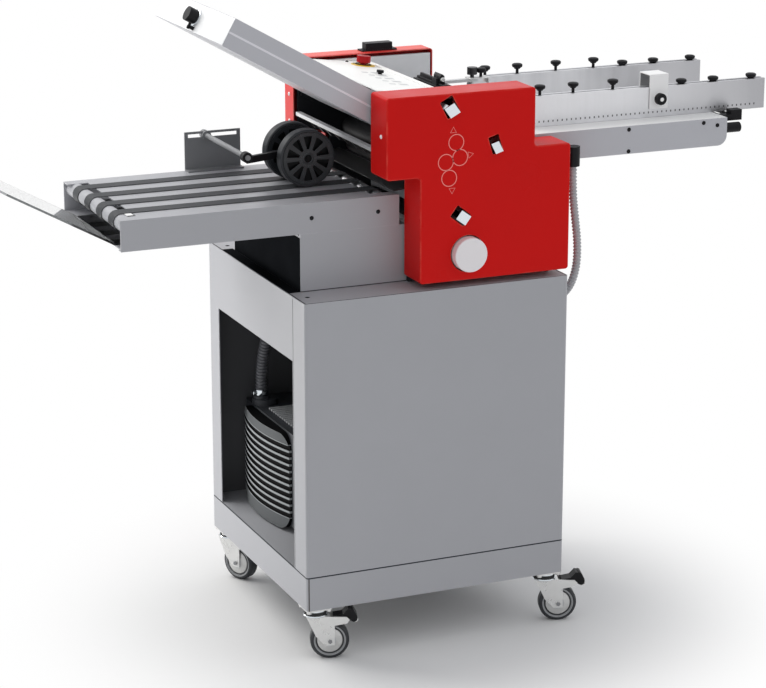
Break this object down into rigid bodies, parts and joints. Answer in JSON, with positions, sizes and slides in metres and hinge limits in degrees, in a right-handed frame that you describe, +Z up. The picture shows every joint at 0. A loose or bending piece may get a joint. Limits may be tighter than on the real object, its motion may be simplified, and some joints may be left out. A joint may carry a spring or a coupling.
{
  "type": "paper folding machine",
  "caption": "Buckle folding machine on a castor stand: suction feeder, fold rollers, inclined fold plate, belt delivery with press wheels, catch tray, and a vacuum pump in the stand.",
  "frame": {"origin": "middle of the machine's footprint, on the floor", "axes": "+Z up; +X along the paper path towards the feeder end; +Y across the machine, away from the operator"},
  "size_m": [1.5796, 0.538, 1.2301],
  "materials": {
    "belt_fabric": "matt",
    "black_plastic": "matt",
    "black_rubber": "matt",
    "bright_steel": "ground",
    "cabinet_grey": "satin powder coat",
    "chrome_trim": "polished",
    "clear_sheet": "clear acrylic",
    "dark_metal": "satin black",
    "guide_alu": "satin anodised",
    "hose_grey": "ribbed",
    "knob_silver": "satin",
    "machine_grey": "satin powder coat",
    "pump_dark": "cast, matt",
    "pump_grey": "matt",
    "red_paint": "satin powder coat",
    "red_plastic": "gloss",
    "wheel_blue_black": "gloss",
    "wheel_rubber": "matt",
    "white_paint": "satin powder coat",
    "zinc_steel": "zinc plated"
  },
  "bodies": {
    "stand": {"base_tray": "cabinet_grey", "castor_plates": "zinc_steel", "cabinet_shell": "cabinet_grey", "cabinet_top": "cabinet_grey", "pump_body": "pump_dark", "pump_hood": "pump_grey", "pump_hose": "hose_grey", "pedestal": "machine_grey", "front_frame": "zinc_steel", "rear_frame": "zinc_steel", "front_cover": "red_paint", "rear_cover": "red_paint", "rear_box": "black_plastic", "gear_motor": "dark_metal", "drive_belt": "black_rubber", "lower_plate": "machine_grey", "cross_bars": "bright_steel", "delivery_frame": "machine_grey", "delivery_belts": "belt_fabric", "catch_tray": "clear_sheet", "press_bracket": "dark_metal", "feed_table": "machine_grey", "end_rail": "dark_metal", "separator": "black_plastic", "conduit": "hose_grey", "conduit_fittings": "black_plastic"},
    "castor_fl": {"castor_fork_fl": "zinc_steel"},
    "wheel_fl": {"castor_wheel_fl": "wheel_rubber"},
    "pedal_fl": {"brake_pedal_fl": "black_plastic"},
    "castor_fr": {"castor_fork_fr": "zinc_steel"},
    "wheel_fr": {"castor_wheel_fr": "wheel_rubber"},
    "pedal_fr": {"brake_pedal_fr": "black_plastic"},
    "castor_rl": {"castor_fork_rl": "zinc_steel"},
    "wheel_rl": {"castor_wheel_rl": "wheel_rubber"},
    "castor_rr": {"castor_fork_rr": "zinc_steel"},
    "wheel_rr": {"castor_wheel_rr": "wheel_rubber"},
    "lid": {"top_cover": "white_paint"},
    "stop_button_body": {"estop_button": "red_plastic"},
    "start_button_body": {"start_button": "black_plastic"},
    "main_shaft": {"handwheel": "knob_silver"},
    "roller_1": {"fold_roller_1": "bright_steel"},
    "roller_2": {"fold_roller_2": "bright_steel"},
    "roller_3": {"fold_roller_3": "bright_steel"},
    "roller_4": {"fold_roller_4": "bright_steel"},
    "lever_1": {"gap_lever_1": "chrome_trim"},
    "lever_2": {"gap_lever_2": "chrome_trim"},
    "lever_3": {"gap_lever_3": "chrome_trim"},
    "fold_plate": {"upper_plate": "machine_grey"},
    "stop_screw": {"stop_knob": "black_plastic"},
    "stop_bar": {"upper_stop": "bright_steel"},
    "belt_roller_body": {"belt_roller": "bright_steel"},
    "arm": {"press_arm": "black_plastic"},
    "press_pair": {"press_wheels": "wheel_blue_black"},
    "guide_front": {"front_guide": "guide_alu", "guide_screws_front": "black_plastic"},
    "guide_rear": {"rear_guide": "guide_alu", "guide_screws_rear": "black_plastic"},
    "saddle_body": {"saddle": "white_paint"},
    "drum": {"suction_drum": "bright_steel"},
    "rail_knob": {"end_knob": "black_plastic"}
  },
  "joints": [
    {"name": "swivel_fl", "type": "hinge", "parent": "stand", "child": "castor_fl", "pos_m": [-0.23324, -0.23, 0.09], "axis": [0, 0, 1], "continuous": true},
    {"name": "roll_fl", "type": "hinge", "parent": "castor_fl", "child": "wheel_fl", "pos_m": [-0.20756, -0.23834, 0.0375], "axis": [0.309, 0.9511, 0], "continuous": true},
    {"name": "brake_fl", "type": "hinge", "parent": "castor_fl", "child": "pedal_fl", "pos_m": [-0.1952, -0.24236, 0.082], "axis": [0.309, 0.9511, 0], "range_deg": [0, 10]},
    {"name": "swivel_fr", "type": "hinge", "parent": "stand", "child": "castor_fr", "pos_m": [0.25476, -0.23, 0.09], "axis": [0, 0, 1], "continuous": true},
    {"name": "roll_fr", "type": "hinge", "parent": "castor_fr", "child": "wheel_fr", "pos_m": [0.28044, -0.23834, 0.0375], "axis": [0.309, 0.9511, 0], "continuous": true},
    {"name": "brake_fr", "type": "hinge", "parent": "castor_fr", "child": "pedal_fr", "pos_m": [0.2928, -0.24236, 0.082], "axis": [0.309, 0.9511, 0], "range_deg": [0, 10]},
    {"name": "swivel_rl", "type": "hinge", "parent": "stand", "child": "castor_rl", "pos_m": [-0.23324, 0.242, 0.09], "axis": [0, 0, 1], "continuous": true},
    {"name": "roll_rl", "type": "hinge", "parent": "castor_rl", "child": "wheel_rl", "pos_m": [-0.21974, 0.21862, 0.0375], "axis": [0.866, 0.5, 0], "continuous": true},
    {"name": "swivel_rr", "type": "hinge", "parent": "stand", "child": "castor_rr", "pos_m": [0.25476, 0.242, 0.09], "axis": [0, 0, 1], "continuous": true},
    {"name": "roll_rr", "type": "hinge", "parent": "castor_rr", "child": "wheel_rr", "pos_m": [0.26826, 0.21862, 0.0375], "axis": [0.866, 0.5, 0], "continuous": true},
    {"name": "lid_hinge", "type": "hinge", "parent": "stand", "child": "lid", "pos_m": [0.08176, 0.006, 1.046], "axis": [0, 1, 0], "range_deg": [0, 95]},
    {"name": "estop_press", "type": "slide", "parent": "lid", "child": "stop_button_body", "axis": [0.1224, 0, 0.9925], "range_m": [-0.004, 0]},
    {"name": "start_press", "type": "slide", "parent": "lid", "child": "start_button_body", "axis": [0.1224, 0, 0.9925], "range_m": [-0.002, 0], "stiffness_N_per_m": 400},
    {"name": "handwheel_turn", "type": "hinge", "parent": "stand", "child": "main_shaft", "pos_m": [0.07176, 0.006, 0.773], "axis": [0, 1, 0], "continuous": true},
    {"name": "roller_1_turn", "type": "hinge", "parent": "stand", "child": "roller_1", "pos_m": [0.06693, 0.006, 0.98037], "axis": [0, 1, 0], "continuous": true},
    {"name": "roller_2_turn", "type": "hinge", "parent": "stand", "child": "roller_2", "pos_m": [0.05876, 0.006, 0.945], "axis": [0, 1, 0], "continuous": true},
    {"name": "roller_3_turn", "type": "hinge", "parent": "stand", "child": "roller_3", "pos_m": [0.02326, 0.006, 0.93745], "axis": [0, 1, 0], "continuous": true},
    {"name": "roller_4_turn", "type": "hinge", "parent": "stand", "child": "roller_4", "pos_m": [0.03142, 0.006, 0.90208], "axis": [0, 1, 0], "continuous": true},
    {"name": "lever_1_turn", "type": "hinge", "parent": "stand", "child": "lever_1", "pos_m": [-0.01138, 0.006, 1.03053], "axis": [0, 1, 0], "range_deg": [-12, 0]},
    {"name": "lever_2_turn", "type": "hinge", "parent": "stand", "child": "lever_2", "pos_m": [0.17458, 0.006, 0.99162], "axis": [0, 1, 0], "range_deg": [0, 12]},
    {"name": "lever_3_turn", "type": "hinge", "parent": "stand", "child": "lever_3", "pos_m": [0.02498, 0.006, 0.8076], "axis": [0, 1, 0], "range_deg": [-12, 0]},
    {"name": "plate_slide", "type": "slide", "parent": "stand", "child": "fold_plate", "axis": [-0.8698, 0, 0.4935], "range_m": [0, 0.08]},
    {"name": "stop_knob_turn", "type": "hinge", "parent": "fold_plate", "child": "stop_screw", "pos_m": [-0.36634, 0.006, 1.2062], "axis": [0.8698, 0, -0.4935], "range_deg": [-1100, 1500]},
    {"name": "stop_bar_slide", "type": "slide", "parent": "fold_plate", "child": "stop_bar", "axis": [0.8698, 0, -0.4935], "range_m": [-0.11, 0.15]},
    {"name": "belt_roller_turn", "type": "hinge", "parent": "stand", "child": "belt_roller_body", "pos_m": [-0.06124, 0.006, 0.8642], "axis": [0, 1, 0], "continuous": true},
    {"name": "arm_lift", "type": "hinge", "parent": "stand", "child": "arm", "pos_m": [-0.29124, 0.006, 0.947], "axis": [0, 1, 0], "range_deg": [-25, 0]},
    {"name": "press_wheels_turn", "type": "hinge", "parent": "arm", "child": "press_pair", "pos_m": [-0.17024, 0.006, 0.9358], "axis": [0, 1, 0], "continuous": true},
    {"name": "front_guide_shift", "type": "slide", "parent": "stand", "child": "guide_front", "axis": [0, 1, 0], "range_m": [-0.015, 0.06]},
    {"name": "rear_guide_shift", "type": "slide", "parent": "stand", "child": "guide_rear", "axis": [0, 1, 0], "range_m": [-0.06, 0.04]},
    {"name": "saddle_shift", "type": "slide", "parent": "guide_front", "child": "saddle_body", "axis": [1, 0, 0], "range_m": [-0.25, 0.2]},
    {"name": "drum_turn", "type": "hinge", "parent": "stand", "child": "drum", "pos_m": [0.16076, 0.006, 0.938], "axis": [0, 1, 0], "continuous": true},
    {"name": "rail_knob_turn", "type": "hinge", "parent": "stand", "child": "rail_knob", "pos_m": [0.67076, -0.161, 0.948], "axis": [1, 0, 0], "continuous": true}
  ],
  "couplings": [
    {"joint": "roller_4_turn", "follows": "handwheel_turn", "ratio": 1},
    {"joint": "roller_3_turn", "follows": "handwheel_turn", "ratio": -1},
    {"joint": "roller_2_turn", "follows": "handwheel_turn", "ratio": 1},
    {"joint": "roller_1_turn", "follows": "handwheel_turn", "ratio": -1},
    {"joint": "press_wheels_turn", "follows": "belt_roller_turn", "ratio": -0.29818},
    {"joint": "stop_knob_turn", "follows": "stop_bar_slide", "rad_per_m": 174.53}
  ]
}
